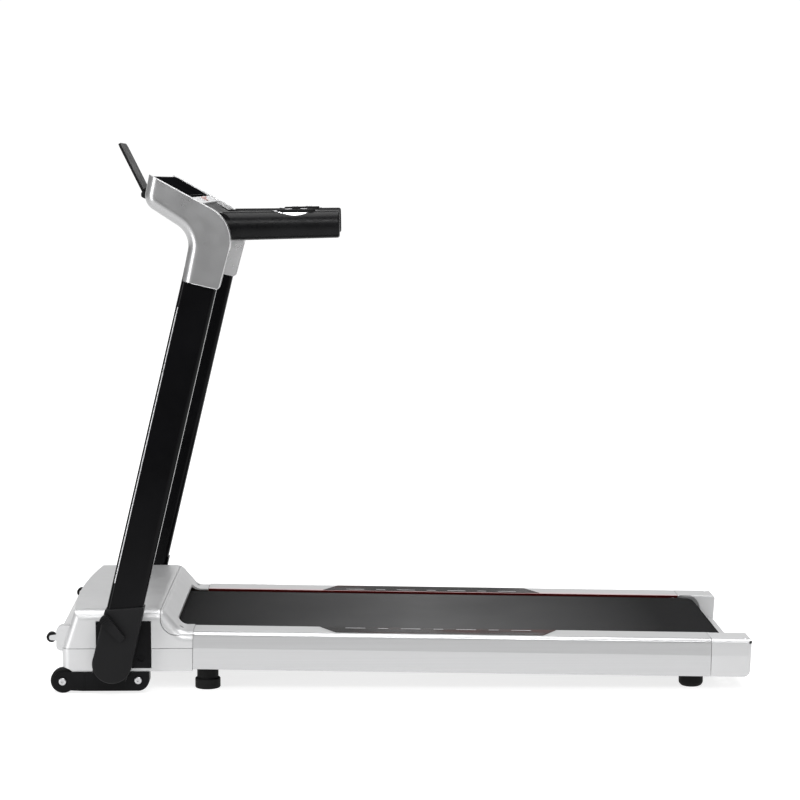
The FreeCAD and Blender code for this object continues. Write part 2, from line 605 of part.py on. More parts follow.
def storage_fork():
    """Housing for the small roller that the folded machine stands on."""
    block = plate_xz([(-685, STORE_Z - 26, 10), (-640, STORE_Z - 26, 2),
                      (-640, STORE_Z + 24, 2), (-685, STORE_Z + 24, 12)],
                     STORE_Y - 11.5, STORE_Y + 11.5)
    slot = box(-710, -682.5, STORE_Y - 7.6, STORE_Y + 7.6, STORE_Z - 12.5, STORE_Z + 12.5)
    ears = plate_xz([(-699, STORE_Z - 4.5, 4.4), (-676, STORE_Z - 7, 1), (-676, STORE_Z + 7, 1),
                     (-699, STORE_Z + 4.5, 4.4)], STORE_Y - 10.5, STORE_Y + 10.5)
    block = block.fuse(ears)
    pin_hole = rod_y(STORE_X, STORE_Z, 2.5, STORE_Y - 20, STORE_Y + 20)
    hood = Part.makeLoft([hood_plan(HOOD_SEAM, HOOD_FRONT, 29.0, 0),
                          hood_plan(HOOD_TOP + 2, HOOD_TOP_FRONT, 13.0, 0)], True, True)
    lower = Part.makeLoft([hood_plan(HOOD_BOTTOM, HOOD_FRONT, 8.0, 0),
                           hood_plan(HOOD_SEAM, HOOD_FRONT, 29.0, 0)], True, True)
    return cut(block, slot, pin_hole, hood, lower)


def storage_roller():
    roller_body = rod_y(STORE_X, STORE_Z, STORE_R, STORE_Y - 7, STORE_Y + 7)
    rims = [e for e in roller_body.Edges if e.BoundBox.YLength < 0.1]
    roller_body = roller_body.makeFillet(1.5, rims)
    return roller_body.cut(rod_y(STORE_X, STORE_Z, 2.5 + RUNNING_GAP, STORE_Y - 9, STORE_Y + 9))


FRONT_FOOT_X, REAR_FOOT_X = -386.0, 590.0
FOOT_Y = 227.0


def under_frame(x_low, x_high):
    """Room above the tilted underside of the frame's side tubes."""
    return deck(box(x_low, x_high, 200, 300, TUBE_Z0, 200))


def front_foot():
    neck = rod_z(FRONT_FOOT_X, FOOT_Y, 21.5, 21, 70).cut(under_frame(-430, -340))
    pad = rod_z(FRONT_FOOT_X, FOOT_Y, 25.5, 0, 21)
    pad = pad.makeFillet(3.0, [e for e in pad.Edges if e.BoundBox.ZLength < 0.1])
    return neck, pad


def rear_foot():
    foot = rod_z(REAR_FOOT_X, FOOT_Y + 1, 24.5, 0, 60)
    foot = foot.makeFillet(10.0, [e for e in foot.Edges if e.BoundBox.ZMax < 1])
    return foot.cut(under_frame(560, 630))


# Mast

def mast_section(grow, low, high):
    """Rounded rectangular bar the size of the mast tube, grown all round."""
    half, y0, y1 = MAST_TUBE_W / 2 + grow, MAST_Y0 - grow, MAST_Y1 + grow
    radius = 9.0 + grow
    return plate_xy([(-half, y0, radius), (half, y0, radius), (half, y1, radius),
                     (-half, y1, radius)], low, high)


def upright():
    """Steel mast tube, drawn over the pivot."""
    low, high = -29.0, 800.0
    tube = mast_section(0, low, high)
    inside = mast_section(-2.0, low - 1, high + 1)
    hole = rod_y(0, 0, PIVOT_R + RUNNING_GAP, MAST_Y0 - 1, MAST_Y1 + 1)
    return leaned(cut(tube, inside, hole))


def base_cover():
    """Plastic cover over the mast's foot, round about the pivot."""
    half, lobe = 38.5, 39.0
    upper = plate_xz([(-half, 0, 0), (half, 0, 0), (half - 1.5, 126, 3), (-half + 1.5, 103, 3)],
                     COVER_Y0, COVER_Y1)
    cover = upper.fuse(rod_y(0, 0, lobe, COVER_Y0, COVER_Y1)).removeSplitter()
    rim = outer_edges(cover, COVER_Y1, lambda c: c.z < 95)
    cover = cover.makeFillet(4.0, rim)
    tube_w, tube_y = MAST_TUBE_W / 2 + GAP, MAST_Y1 + GAP
    room = box(-tube_w, tube_w, COVER_Y0 - 1, tube_y, -31, 200)
    head_room = rod_y(0, 0, 15.0, COVER_Y0 - 1, 324.6)
    pivot_room = rod_y(0, 0, 30.0, COVER_Y0 - 1, MAST_Y0 + 0.5)
    return cover, cut(cover, room, head_room, pivot_room)


LEVER_X, LEVER_Z = -576.0, 152.0
LEVER_ANGLE = 50.0


def lock_lever():
    """Lock lever: a ribbed paddle turning on a short shaft in the base cover."""
    y0, y1 = COVER_Y1 + 0.4, COVER_Y1 + 14.0
    paddle = plate_xy([(-16.5, y0, 2), (46.5, y0, 2), (46.5, y1 - 6, 4), (-16.5, y1, 5)], -12, 12)
    paddle = paddle.common(plate_xz([(-16, -10.5, 9), (46, -7.5, 5), (46, 7.5, 5), (-16, 10.5, 9)],
                                    y0 - 1, y1 + 1))
    for i in range(6):
        x = -11 + i * 4.5
        paddle = paddle.cut(box(x - 1.1, x + 1.1, y1 - 3.2, y1 + 1, -12, 12))
    shaft = rod_y(0, 0, 5.0, MAST_Y1 + 1.0, y0)
    lever = paddle.fuse(shaft)
    lever.rotate(Vector(0, 0, 0), Y_AXIS, LEVER_ANGLE)
    lever.translate(Vector(LEVER_X, 0, LEVER_Z))
    return lever


# Console

def on_slope(s, depth):
    """Point (x, z) at distance s down the console's slope and depth below it."""
    angle = math.radians(SLOPE)
    return (SLOPE_X + s * math.cos(angle) - depth * math.sin(angle),
            SLOPE_Z - s * math.sin(angle) - depth * math.cos(angle))


def slope_slab(s0, s1, depth0, depth1, y0, y1, radius=0.0):
    """Flat slab lying on the console's slope."""
    outline = [on_slope(s0, depth0), on_slope(s1, depth0), on_slope(s1, depth1), on_slope(s0, depth1)]
    return plate_xz([(x, z, radius) for x, z in outline], y0, y1)


ARM_OUTLINE = [(SLOPE_X, SLOPE_Z, 0), (-498.5, 973, 30), (-407, 913, 46), (-425.5, 823, 0),
               (-353, 806, 6), (-318, 936, 70)]


ARM_ROUND = 22.0


def console_arm():
    """S-shaped side arm that carries the console on the mast tube."""
    arm = plate_xz(ARM_OUTLINE, ARM_Y0, ARM_Y1)
    steepness = math.tan(math.radians(SLOPE))
    front_rim = outer_edges(arm, ARM_Y1, lambda c: c.x < -405 and c.z > 830
                            and SLOPE_Z - (c.x - SLOPE_X) * steepness - c.z > 15)
    arm = arm.makeFillet(ARM_ROUND, front_rim)
    inner = plate_xz([(-483, 1023, 3), (-494, 974, 20), (-402, 914, 42), (-421, 780, 3),
                      (-349, 780, 3), (-324, 936, 66)], ARM_Y0 + 3.5, ARM_Y1 - 19)
    tube = leaned(mast_section(0.3, 600, 801))
    return cut(arm, inner, tube)


SHELL_OUTLINE = [(-487.4, 1022.3, 3), (-496, 975, 22), (-424, 929, 25), (-402, 896, 8),
                 (-341, 896, 7), (-330, 933.6, 40)]
SLOT_Y0, SLOT_Y1 = 214.0, 276.0


def handle_sweep(radius, reach):
    """Room the handlebar needs on its way from level to raised."""
    room = rod_y(HANDLE_X, HANDLE_Z, radius + 1, SLOT_Y0, SLOT_Y1)
    for step in range(5):
        angle = math.radians(HANDLE_RISE) + math.radians(HANDLE_TILT) * step / 4
        arm = box(HANDLE_X, HANDLE_X + reach, SLOT_Y0, SLOT_Y1, HANDLE_Z - radius, HANDLE_Z + radius)
        room = room.fuse(turned(arm, HANDLE_X, HANDLE_Z, -math.degrees(angle)))
    return room


def console_shell():
    """Hollow black shell between the arms, with slots for the handlebar."""
    end = ARM_Y0 - GAP
    shell = plate_xz(SHELL_OUTLINE, -end, end)
    hollow = plate_xz([(-483, 1015, 3), (-492.5, 976, 19), (-422, 932.5, 22), (-400, 899.5, 4),
                       (-344, 899.5, 4), (-334, 931, 32)], -end + 3.5, end - 3.5)
    sweep = handle_sweep(31.0, 90.0)
    lug = plate_xz([(HOLDER_X - 6, HOLDER_Z - 6, 5), (-490, 968, 2), (-487, 990, 2),
                    (HOLDER_X - 6, HOLDER_Z + 6, 5)], 73, 80).cut(hollow)
    pin = rod_y(HOLDER_X, HOLDER_Z, 2.5, -75, 75)
    shaft_bore = rod_y(HANDLE_X, HANDLE_Z, HANDLE_SHAFT_R + RUNNING_GAP, -ARM_Y0, ARM_Y0)
    shell = cut(shell, hollow, sweep, mirrored(sweep), shaft_bore)
    return shell.multiFuse([lug, mirrored(lug), pin]).removeSplitter()


DISPLAY_S0, DISPLAY_S1 = 5.0, 88.0
STRIP_S0, STRIP_S1 = 88.5, 112.0


def display_panel():
    return slope_slab(DISPLAY_S0, DISPLAY_S1, 1.0, 5.9, -282, 282, 1.0)


def key_strip():
    strip = slope_slab(STRIP_S0, STRIP_S1, 1.5, 5.9, -282, 282, 0.8)
    return cut(strip, *[key_shape(y, 0.25, 1.0, 7.0) for y in KEY_PLACES.values()])


KEY_PLACES = {"stop": -70.0, "start": 70.0}


def key_shape(y, grow, top, bottom):
    s0, s1 = STRIP_S0 + 6.0 - grow, STRIP_S1 - 6.0 + grow
    return slope_slab(s0, s1, top, bottom, y - 14 - grow, y + 14 + grow)


def safety_key():
    """Magnetic safety key resting on the key strip."""
    x, z = on_slope((STRIP_S0 + STRIP_S1) / 2, 1.4)
    angle = math.radians(SLOPE)
    normal = Vector(math.sin(angle), 0, math.cos(angle))
    disc = Part.makeCylinder(8.0, 3.0, Vector(x, 0, z) + normal * 0.1, normal)
    tab = slope_slab((STRIP_S0 + STRIP_S1) / 2 - 2, (STRIP_S0 + STRIP_S1) / 2 + 2, -5.5, -1.0, -5, 5, 1.0)
    return disc.fuse(tab).removeSplitter()


def control_board():
    return slope_slab(14, 84, 16, 18, -150, 150)


def cross_tube():
    """Steel tube across the inside of the console, from one end wall to the other."""
    x, z, half = -430.0, 961.0, ARM_Y0 - 3.9
    return cut(rod_y(x, z, 11, -half, half), rod_y(x, z, 9, -half - 1, half + 1))


def wire_harness():
    """Console cable inside the right mast tube."""
    return leaned(rod_z(0, (MAST_Y0 + MAST_Y1) / 2, 4.0, 15, 795))


def tablet_holder():
    top_x, top_z = -569.0, 1093.0
    reach = math.hypot(top_x - HOLDER_X, top_z - HOLDER_Z)
    angle = math.degrees(math.atan2(HOLDER_X - top_x, top_z - HOLDER_Z))
    plate = box(-2.5, 2.5, -71, 71, 0, reach)
    ends = [e for e in plate.Edges if e.BoundBox.ZMin > reach - 1 and e.BoundBox.YLength < 1]
    plate = plate.makeFillet(14.0, ends)
    ledge = box(2.5, 11, -60, 60, 6, 10)
    holder = plate.fuse(ledge).fuse(rod_y(0, 0, 5.0, -71, 71)).removeSplitter()
    holder = holder.cut(rod_y(0, 0, 2.5 + RUNNING_GAP, -80, 80))
    holder.rotate(Vector(0, 0, 0), Y_AXIS, -angle)
    holder.translate(Vector(HOLDER_X, 0, HOLDER_Z))
    return holder


# Handlebar, drawn level from the pivot and then raised by HANDLE_RISE

BAR_R = 12.0


def handlebar(shape):
    copy = shape.copy()
    copy.translate(Vector(HANDLE_X, 0, HANDLE_Z))
    return turned(copy, HANDLE_X, HANDLE_Z, -HANDLE_RISE)


def handle_frame():
    """Cross shaft with a bar welded to each end."""
    shaft = rod_y(0, 0, HANDLE_SHAFT_R, -ARM_Y0 + 1, ARM_Y0 - 1)
    bars = [rod_x(side * HANDLE_Y, 0, BAR_R, 0, HANDLE_REACH - 12) for side in (-1, 1)]
    hubs = [rod_y(0, 0, 13.0, y - 21, y + 21) for y in (-HANDLE_Y, HANDLE_Y)]
    return handlebar(shaft.multiFuse(bars + hubs).removeSplitter())


def grip_loft(grow, x0, x1):
    """Oval grip body, a little slimmer at its outer end."""
    def oval(x, tall, wide):
        ellipse = Part.Ellipse(Vector(x, HANDLE_Y, 0), tall, wide)
        wire = Part.Wire(ellipse.toShape())
        wire.rotate(Vector(x, HANDLE_Y, 0), Y_AXIS, 90)
        return wire

    span = HANDLE_REACH
    wires = []
    for x in (x0, x1):
        along = x / span
        wires.append(oval(x, 29.0 - 2.0 * along + grow, 23.5 - 1.5 * along + grow))
    return Part.makeLoft(wires, True)


def grip():
    body = grip_loft(0, 8.0, HANDLE_REACH)
    ends = [e for e in body.Edges if e.BoundBox.XMin > HANDLE_REACH - 0.5]
    body = body.makeFillet(5.0, ends)
    hub = rod_y(0, 0, 27.5, HANDLE_Y - 21, HANDLE_Y + 21)
    body = body.fuse(hub)
    bar = rod_x(HANDLE_Y, 0, BAR_R, -1, HANDLE_REACH - 12)
    shaft = rod_y(0, 0, 13.0, HANDLE_Y - 30, HANDLE_Y + 30)
    return cut(body, bar, shaft)


def pulse_zone(grow):
    """Lens-shaped zone on the grip's top, where the pulse plate lies."""
    middle, half, wide = 150.0, 46.0 + grow, 17.5 + grow
    tips = Vector(middle - half, HANDLE_Y, 12), Vector(middle + half, HANDLE_Y, 12)
    sides = [Part.Arc(tips[0], Vector(middle, HANDLE_Y - wide, 12), tips[1]).toShape(),
             Part.Arc(tips[1], Vector(middle, HANDLE_Y + wide, 12), tips[0]).toShape()]
    return Part.Face(Part.Wire(sides)).extrude(Vector(0, 0, 40))


POD_X, POD_HALF, POD_TOP = 153.0, 38.0, 30.8


def pod_zone(half, wide, z0, z1):
    return plate_xy([(POD_X - half, HANDLE_Y - wide, wide * 0.96),
                     (POD_X + half, HANDLE_Y - wide, wide * 0.96),
                     (POD_X + half, HANDLE_Y + wide, wide * 0.96),
                     (POD_X - half, HANDLE_Y + wide, wide * 0.96)], z0, z1)


BUTTON_PLACES = (POD_X - 15.0, POD_X + 15.0)
BUTTON_R = 7.0
BUTTON_SUNK, BUTTON_PROUD = 1.3, 1.2


def pulse_plate():
    shell = grip_loft(0.9, 60, 210).cut(grip_loft(0.02, 59, 211))
    return shell.common(pulse_zone(0)).cut(pod_zone(POD_HALF + 0.2, 12.2, 10, 60))


def button_pod():
    pod = pod_zone(POD_HALF, 12.0, 22, POD_TOP)
    pod = pod.makeFillet(1.2, [e for e in pod.Edges if e.BoundBox.ZMin > POD_TOP - 0.5])
    pod = pod.cut(grip_loft(0.02, 59, 230))
    wells = [rod_z(x, HANDLE_Y, BUTTON_R + GAP, POD_TOP - 3.5, 40) for x in BUTTON_PLACES]
    return cut(pod, *wells)


def grip_button(x):
    cap = rod_z(x, HANDLE_Y, BUTTON_R, POD_TOP - BUTTON_SUNK, POD_TOP + BUTTON_PROUD)
    return cap.makeFillet(0.8, [e for e in cap.Edges if e.BoundBox.ZMin > POD_TOP])


# Build and export

save_pair("side_rail", side_rail())
save_both("grip_strips", grip_strip())
save("frame_tubes", *frame_tubes())
save("deck_board", deck_board())
save("deck_cushions", *deck_cushions())
save("running_belt", running_belt())
for node, axis_x in (("front_roller", FRONT_ROLLER_X), ("rear_roller", REAR_ROLLER_X)):
    tube, bearings = roller(axis_x)
    pulley = [roller_pulley()] if node == "front_roller" else []
    save(node, tube, *bearings, *pulley)
save("roller_shafts", *roller_shafts(), *tension_bolts())
save("rear_cover", rear_cover())

save("motor_case", motor_case())
save("motor_rotor", *motor_rotor())
save("drive_belt", belt_loop(MOTOR_X, MOTOR_Z, MOTOR_PULLEY_R + 0.15, FRONT_AXIS_X, FRONT_AXIS_Z,
                             ROLLER_PULLEY_R + 0.15, 3.0, PULLEY_Y0 + 2, PULLEY_Y1 - 2))
save("motor_mount", motor_mount())
save("motor_controller", motor_controller())

hood_upper, hood_lower, bezel = hood_pieces()
save("hood_upper", hood_upper)
save("hood_lower", hood_lower)
save("belt_bezel", bezel)
save("hood_screws", *hood_screws())
save("power_inlet", power_inlet())
save("power_rocker", power_rocker())
save("breaker_button", breaker_button())

save_both("pivot_plates", pivot_plate())
save_both("pivot_bolts", pivot_bolt())
save_both("wheel_brackets", wheel_bracket())
wheel_bolt = hex_bolt(WHEEL_X, WHEEL_Z, BRACKET_Y1, BRACKET_Y0)
rear_bolt = hex_bolt(REAR_BOLT_X, REAR_BOLT_Z, BRACKET_Y1, BRACKET_Y0)
save("wheel_bolts", wheel_bolt, rear_bolt, mirrored(wheel_bolt), mirrored(rear_bolt))
save_pair("transport_wheel", transport_wheel())
fork = storage_fork()
fork_pin = rod_y(STORE_X, STORE_Z, 2.5, STORE_Y - 10.5, STORE_Y + 10.5)
save("storage_roller_forks", fork, fork_pin, mirrored(fork), mirrored(fork_pin))
save_pair("storage_roller", storage_roller())
foot_neck, foot_pad = front_foot()
save("front_feet", foot_neck, foot_pad, mirrored(foot_neck), mirrored(foot_pad))
save_both("rear_feet", rear_foot())

save_pair("upright", upright())
cover_form, cover = base_cover()
lever = lock_lever()
cover = leaned(cover).cut(rod_y(LEVER_X, LEVER_Z, 5.0 + RUNNING_GAP, MAST_Y1, COVER_Y1 + 2))
save_pair("base_cover", cover)
save_pair("lock_lever", lever)
save_pair("console_arm", console_arm())
save("console_shell", console_shell())
save("display_panel", display_panel())
save("key_strip", key_strip())
for name, place in KEY_PLACES.items():
    save("console_key_" + name, key_shape(place, 0.0, 0.6, 4.7))
save("safety_key", safety_key())
save("console_electronics", control_board(), wire_harness())
save("cross_tube", cross_tube())
save("tablet_holder", tablet_holder())

save("handle_frame", handle_frame())
for side, turn in (("right", handlebar), ("left", lambda shape: mirrored(handlebar(shape)))):
    save("grip_" + side, turn(grip()))
save_both("pulse_plates", handlebar(pulse_plate()))
save_both("button_pods", handlebar(button_pod()))
for side, turn in (("right", handlebar), ("left", lambda shape: mirrored(handlebar(shape)))):
    save("grip_button_" + side + "_rear", turn(grip_button(BUTTON_PLACES[1])))
    save("grip_button_" + side + "_front", turn(grip_button(BUTTON_PLACES[0])))
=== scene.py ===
import json
import math

import bmesh
import bpy
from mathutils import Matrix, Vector


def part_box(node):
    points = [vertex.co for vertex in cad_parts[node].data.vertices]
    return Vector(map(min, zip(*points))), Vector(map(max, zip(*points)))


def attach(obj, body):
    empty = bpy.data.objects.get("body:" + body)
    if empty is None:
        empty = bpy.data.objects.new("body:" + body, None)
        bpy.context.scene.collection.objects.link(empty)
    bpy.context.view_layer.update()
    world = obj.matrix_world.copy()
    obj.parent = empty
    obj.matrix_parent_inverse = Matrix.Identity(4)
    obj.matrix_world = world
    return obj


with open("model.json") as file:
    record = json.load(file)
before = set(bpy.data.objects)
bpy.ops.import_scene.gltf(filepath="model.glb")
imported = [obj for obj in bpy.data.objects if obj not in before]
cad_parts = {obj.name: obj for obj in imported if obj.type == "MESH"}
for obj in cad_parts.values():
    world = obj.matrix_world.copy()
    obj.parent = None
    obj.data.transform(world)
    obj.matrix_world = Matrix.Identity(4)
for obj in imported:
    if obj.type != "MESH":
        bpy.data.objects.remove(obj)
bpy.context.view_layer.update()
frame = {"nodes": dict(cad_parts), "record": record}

# Camera
CAMERA_PLACE = (-0.0865, -4.8452, 1.0155)
CAMERA_YAW = 1.0906
CAMERA_PITCH = 5.377
FOCAL_IN_FRAMES = 2323.1 / 800.0


def corner(node, x="mid", y="mid", z="mid"):
    """A point of a node's box: each of x, y, z is low, mid or high."""
    low, high = (Vector(v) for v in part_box(node))
    pick = {"low": 0.0, "mid": 0.5, "high": 1.0}
    return Vector(low[i] + (high[i] - low[i]) * pick[word] for i, word in enumerate((x, y, z)))


# Material building blocks

class Finish:
    """A procedural material: one Principled shader with noise in colour, gloss and relief."""

    def __init__(self, name, roughness, metallic=0.0, coat=0.0, coat_roughness=0.08, specular=0.5):
        self.material = bpy.data.materials.new(name)
        self.material.use_nodes = True
        self.tree = self.material.node_tree
        self.shader = self.tree.nodes["Principled BSDF"]
        self.set("Roughness", roughness)
        self.set("Metallic", metallic)
        self.set("Coat Weight", coat)
        self.set("Coat Roughness", coat_roughness)
        self.set("Specular IOR Level", specular)
        self.place = self.node("ShaderNodeTexCoord").outputs["Object"]
        self.height = None

    def set(self, socket, value):
        self.shader.inputs[socket].default_value = value

    def node(self, kind, **inputs):
        made = self.tree.nodes.new(kind)
        for key, value in inputs.items():
            made.inputs[key.replace("_", " ")].default_value = value
        return made

    def link(self, source, target):
        self.tree.links.new(source, target)
        return target

    def mapped(self, scale=(1, 1, 1), rotation=(0, 0, 0)):
        mapping = self.node("ShaderNodeMapping")
        mapping.inputs["Scale"].default_value = scale
        mapping.inputs["Rotation"].default_value = rotation
        self.link(self.place, mapping.inputs["Vector"])
        return mapping.outputs["Vector"]

    def noise(self, scale, detail=3.0, stretch=(1, 1, 1), rotation=(0, 0, 0)):
        made = self.node("ShaderNodeTexNoise", Scale=scale, Detail=detail)
        self.link(self.mapped(stretch, rotation), made.inputs["Vector"])
        return made.outputs["Fac"]

    def voronoi(self, scale, stretch=(1, 1, 1)):
        made = self.node("ShaderNodeTexVoronoi", Scale=scale)
        self.link(self.mapped(stretch), made.inputs["Vector"])
        return made.outputs["Distance"]

    def wave(self, scale, direction="X", stretch=(1, 1, 1), rotation=(0, 0, 0), distortion=0.0):
        made = self.node("ShaderNodeTexWave", Scale=scale, Distortion=distortion)
        made.bands_direction = direction
        self.link(self.mapped(stretch, rotation), made.inputs["Vector"])
        return made.outputs["Fac"]

    def remap(self, source, low, high, from_low=0.3, from_high=0.7):
        made = self.node("ShaderNodeMapRange")
        for key, value in (("From Min", from_low), ("From Max", from_high),
                           ("To Min", low), ("To Max", high)):
            made.inputs[key].default_value = value
        self.link(source, made.inputs["Value"])
        return made.outputs["Result"]

    def math(self, operation, first, second):
        made = self.node("ShaderNodeMath")
        made.operation = operation
        for socket, value in zip(made.inputs, (first, second)):
            if isinstance(value, (int, float)):
                socket.default_value = value
            else:
                self.link(value, socket)
        return made.outputs[0]

    def axis(self, name):
        made = self.node("ShaderNodeSeparateXYZ")
        self.link(self.place, made.inputs[0])
        return made.outputs[name]

    def colour(self, factor, stops):
        """Base colour from a factor, through (position, (r, g, b)) stops."""
        ramp = self.node("ShaderNodeValToRGB")
        points = ramp.color_ramp.elements
        while len(points) < len(stops):
            points.new(0.5)
        for point, (position, rgb) in zip(points, stops):
            point.position = position
            point.color = (*rgb, 1.0)
        self.link(factor, ramp.inputs["Fac"])
        return ramp.outputs["Color"]

    def mix(self, factor, first, second):
        made = self.node("ShaderNodeMix")
        made.data_type = "RGBA"
        if isinstance(factor, (int, float)):
            made.inputs[0].default_value = factor
        else:
            self.link(factor, made.inputs[0])
        for socket, value in ((made.inputs[6], first), (made.inputs[7], second)):
            if isinstance(value, tuple):
                socket.default_value = (*value, 1.0)
            else:
                self.link(value, socket)
        return made.outputs[2]

    def base(self, source):
        self.link(source, self.shader.inputs["Base Color"])

    def rough(self, source):
        self.link(source, self.shader.inputs["Roughness"])

    def relief(self, source, distance, strength=1.0):
        """Adds a bump of the given height in metres on top of earlier ones."""
        bump = self.node("ShaderNodeBump", Strength=strength, Distance=distance)
        self.link(source, bump.inputs["Height"])
        if self.height:
            self.link(self.height, bump.inputs["Normal"])
        self.height = bump.outputs["Normal"]
        self.link(self.height, self.shader.inputs["Normal"])


def shades(rgb, spread):
    """Darker and lighter neighbours of a colour, as ramp stops."""
    dark = tuple(c * (1 - spread) for c in rgb)
    light = tuple(min(1.0, c * (1 + spread)) for c in rgb)
    return [(0.3, dark), (0.7, light)]


def silver_paint():
    """Silver metallic paint on moulded plastic: fine flake and slight orange peel."""
    finish = Finish("silver_paint", 0.45, metallic=0.72, coat=0.06, coat_roughness=0.25)
    flake = finish.voronoi(2600.0)
    cloud = finish.noise(7.0, 2.0)
    tone = finish.colour(cloud, shades((0.53, 0.532, 0.537), 0.03))
    finish.base(finish.mix(finish.remap(flake, 0.0, 0.25, 0.1, 0.6), tone, (0.62, 0.62, 0.625)))
    finish.rough(finish.remap(finish.noise(30.0), 0.42, 0.5))
    finish.relief(finish.noise(420.0, 1.0), 0.00006)
    return finish.material


def arm_paint():
    """Silver paint on the arms, with painted light and shade: darker on the outer faces, paler on
    the faces between them.
    """
    finish = Finish("arm_paint", 0.3, metallic=0.8, coat=0.1, coat_roughness=0.12)
    flake = finish.voronoi(2600.0)
    wide = finish.math("ABSOLUTE", finish.axis("Y"), 0.0)
    inner = abs(corner("console_arm_left", y="high").y)
    # Painted shade and light: the outer faces get a darker copy of the paint, the faces between
    # the arms a paler one.
    outer_face_painted_shade = finish.remap(wide, 0.0, 1.0, inner + 0.002, inner + 0.006)
    tone = finish.mix(outer_face_painted_shade, (0.8, 0.8, 0.805), (0.36, 0.361, 0.365))
    sparkle = finish.remap(flake, 0.0, 0.12, 0.1, 0.6)
    finish.base(finish.mix(sparkle, tone, (0.7, 0.7, 0.705)))
    finish.rough(finish.remap(finish.noise(30.0), 0.27, 0.34))
    finish.relief(finish.noise(420.0, 1.0), 0.00005)
    return finish.material


RAIL_INNER_WALL = abs(corner("side_rail_left", y="high").y)


def rail_aluminium():
    """Anodised extrusion with faint draw lines, a dark red band along its inner wall, and a
    painted reddish reflection beside that band on the right rail only.
    """
    finish = Finish("rail_aluminium", 0.34, metallic=0.85)
    lines = finish.noise(60.0, 4.0, stretch=(0.02, 6.0, 6.0))
    tone = finish.colour(lines, shades((0.48, 0.482, 0.487), 0.035))
    wall = finish.math("ABSOLUTE", finish.axis("Y"), 0.0)
    inner = finish.remap(wall, 1.0, 0.0, RAIL_INNER_WALL + 0.0004, RAIL_INNER_WALL + 0.0008)
    # Painted reflection: a reddish tint fading out from the inner wall, on the right rail only.
    right_side = finish.remap(finish.axis("Y"), 0.0, 1.0, 0.0, 0.01)
    painted_red_reflection = finish.remap(wall, 0.35, 0.0, RAIL_INNER_WALL, RAIL_INNER_WALL + 0.022)
    painted_red_reflection = finish.math("MULTIPLY", painted_red_reflection, right_side)
    tone = finish.mix(painted_red_reflection, tone, (0.72, 0.4, 0.4))
    finish.base(finish.mix(inner, tone, (0.07, 0.004, 0.004)))
    finish.rough(finish.remap(lines, 0.29, 0.38))
    finish.relief(lines, 0.00004)
    return finish.material


def gloss_black():
    """Gloss powder coat on steel tube."""
    finish = Finish("gloss_black_coat", 0.16, specular=0.08)
    finish.base(finish.colour(finish.noise(12.0), shades((0.003, 0.003, 0.0034), 0.2)))
    finish.rough(finish.remap(finish.noise(60.0), 0.13, 0.2))
    finish.relief(finish.noise(900.0, 1.0), 0.00003)
    return finish.material


def black_frame():
    """Satin powder coat with its fine dimple."""
    finish = Finish("satin_black_coat", 0.38, specular=0.08)
    finish.base(finish.colour(finish.noise(20.0), shades((0.0045, 0.0045, 0.005), 0.25)))
    finish.rough(finish.remap(finish.noise(90.0), 0.32, 0.45))
    finish.relief(finish.noise(1500.0, 1.0), 0.00008)
    return finish.material


def moulded_black(name, rgb, grain=0.00012, low=0.42, high=0.56):
    """Black moulded plastic with a spark-eroded grain."""
    finish = Finish(name, 0.5, specular=0.1)
    finish.base(finish.colour(finish.noise(9.0), shades(rgb, 0.15)))
    finish.rough(finish.remap(finish.noise(45.0), low, high))
    finish.relief(finish.voronoi(1100.0), grain)
    return finish.material


def soft_rubber(name, rgb, rough=0.6):
    finish = Finish(name, rough, specular=0.12)
    finish.base(finish.colour(finish.noise(25.0), shades(rgb, 0.2)))
    finish.rough(finish.remap(finish.noise(120.0), rough - 0.06, rough + 0.08))
    finish.relief(finish.noise(800.0, 2.0), 0.0001)
    return finish.material


def running_surface():
    """Woven belt: a fine diamond weave, with a soft patch near the middle painted lighter as a
    painted reflection.
    """
    finish = Finish("running_surface", 0.6, specular=0.0)
    weave = finish.math("MULTIPLY", finish.wave(330.0, "X"), finish.wave(330.0, "Y"))
    # Painted reflection: a lighter, cloudy, slightly rougher patch centred near the middle of the
    # belt.
    reflection_distance = finish.math("ABSOLUTE", finish.math("SUBTRACT", finish.axis("X"), 0.05), 0.0)
    reflection_falloff = finish.remap(reflection_distance, 1.0, 0.0, 0.02, 0.5)
    painted_reflection_patch = finish.math("MULTIPLY", reflection_falloff, finish.remap(finish.noise(3.2), 0.75, 1.0))
    tone = finish.colour(painted_reflection_patch, [(0.0, (0.012, 0.012, 0.0125)), (1.0, (0.1, 0.1, 0.101))])
    finish.base(finish.mix(finish.remap(weave, 0.0, 0.22, 0.0, 0.35), tone, (0.1, 0.1, 0.1)))
    finish.rough(finish.remap(painted_reflection_patch, 0.55, 0.65, 0.0, 1.0))
    finish.relief(weave, 0.00025)
    return finish.material


def grip_strip():
    """Dark anti-slip strip with thin light and red pinstripes that fade in and out."""
    finish = Finish("grip_strip", 0.55, specular=0.1)
    stripes = finish.wave(46.0, "Y")
    fade = finish.noise(5.0, 2.0, stretch=(1.0, 0.2, 0.2))
    red = finish.noise(3.0, 1.0, stretch=(2.0, 8.0, 1.0))
    line = finish.math("MULTIPLY", finish.remap(stripes, 0.0, 1.0, 0.93, 0.99),
                       finish.remap(fade, 0.0, 0.8, 0.42, 0.6))
    tint = finish.mix(finish.remap(red, 0.0, 1.0, 0.45, 0.55), (0.42, 0.4, 0.4), (0.3, 0.09, 0.08))
    ground = finish.colour(finish.noise(40.0), shades((0.014, 0.013, 0.013), 0.2))
    finish.base(finish.mix(line, ground, tint))
    finish.relief(finish.voronoi(900.0), 0.0003)
    return finish.material


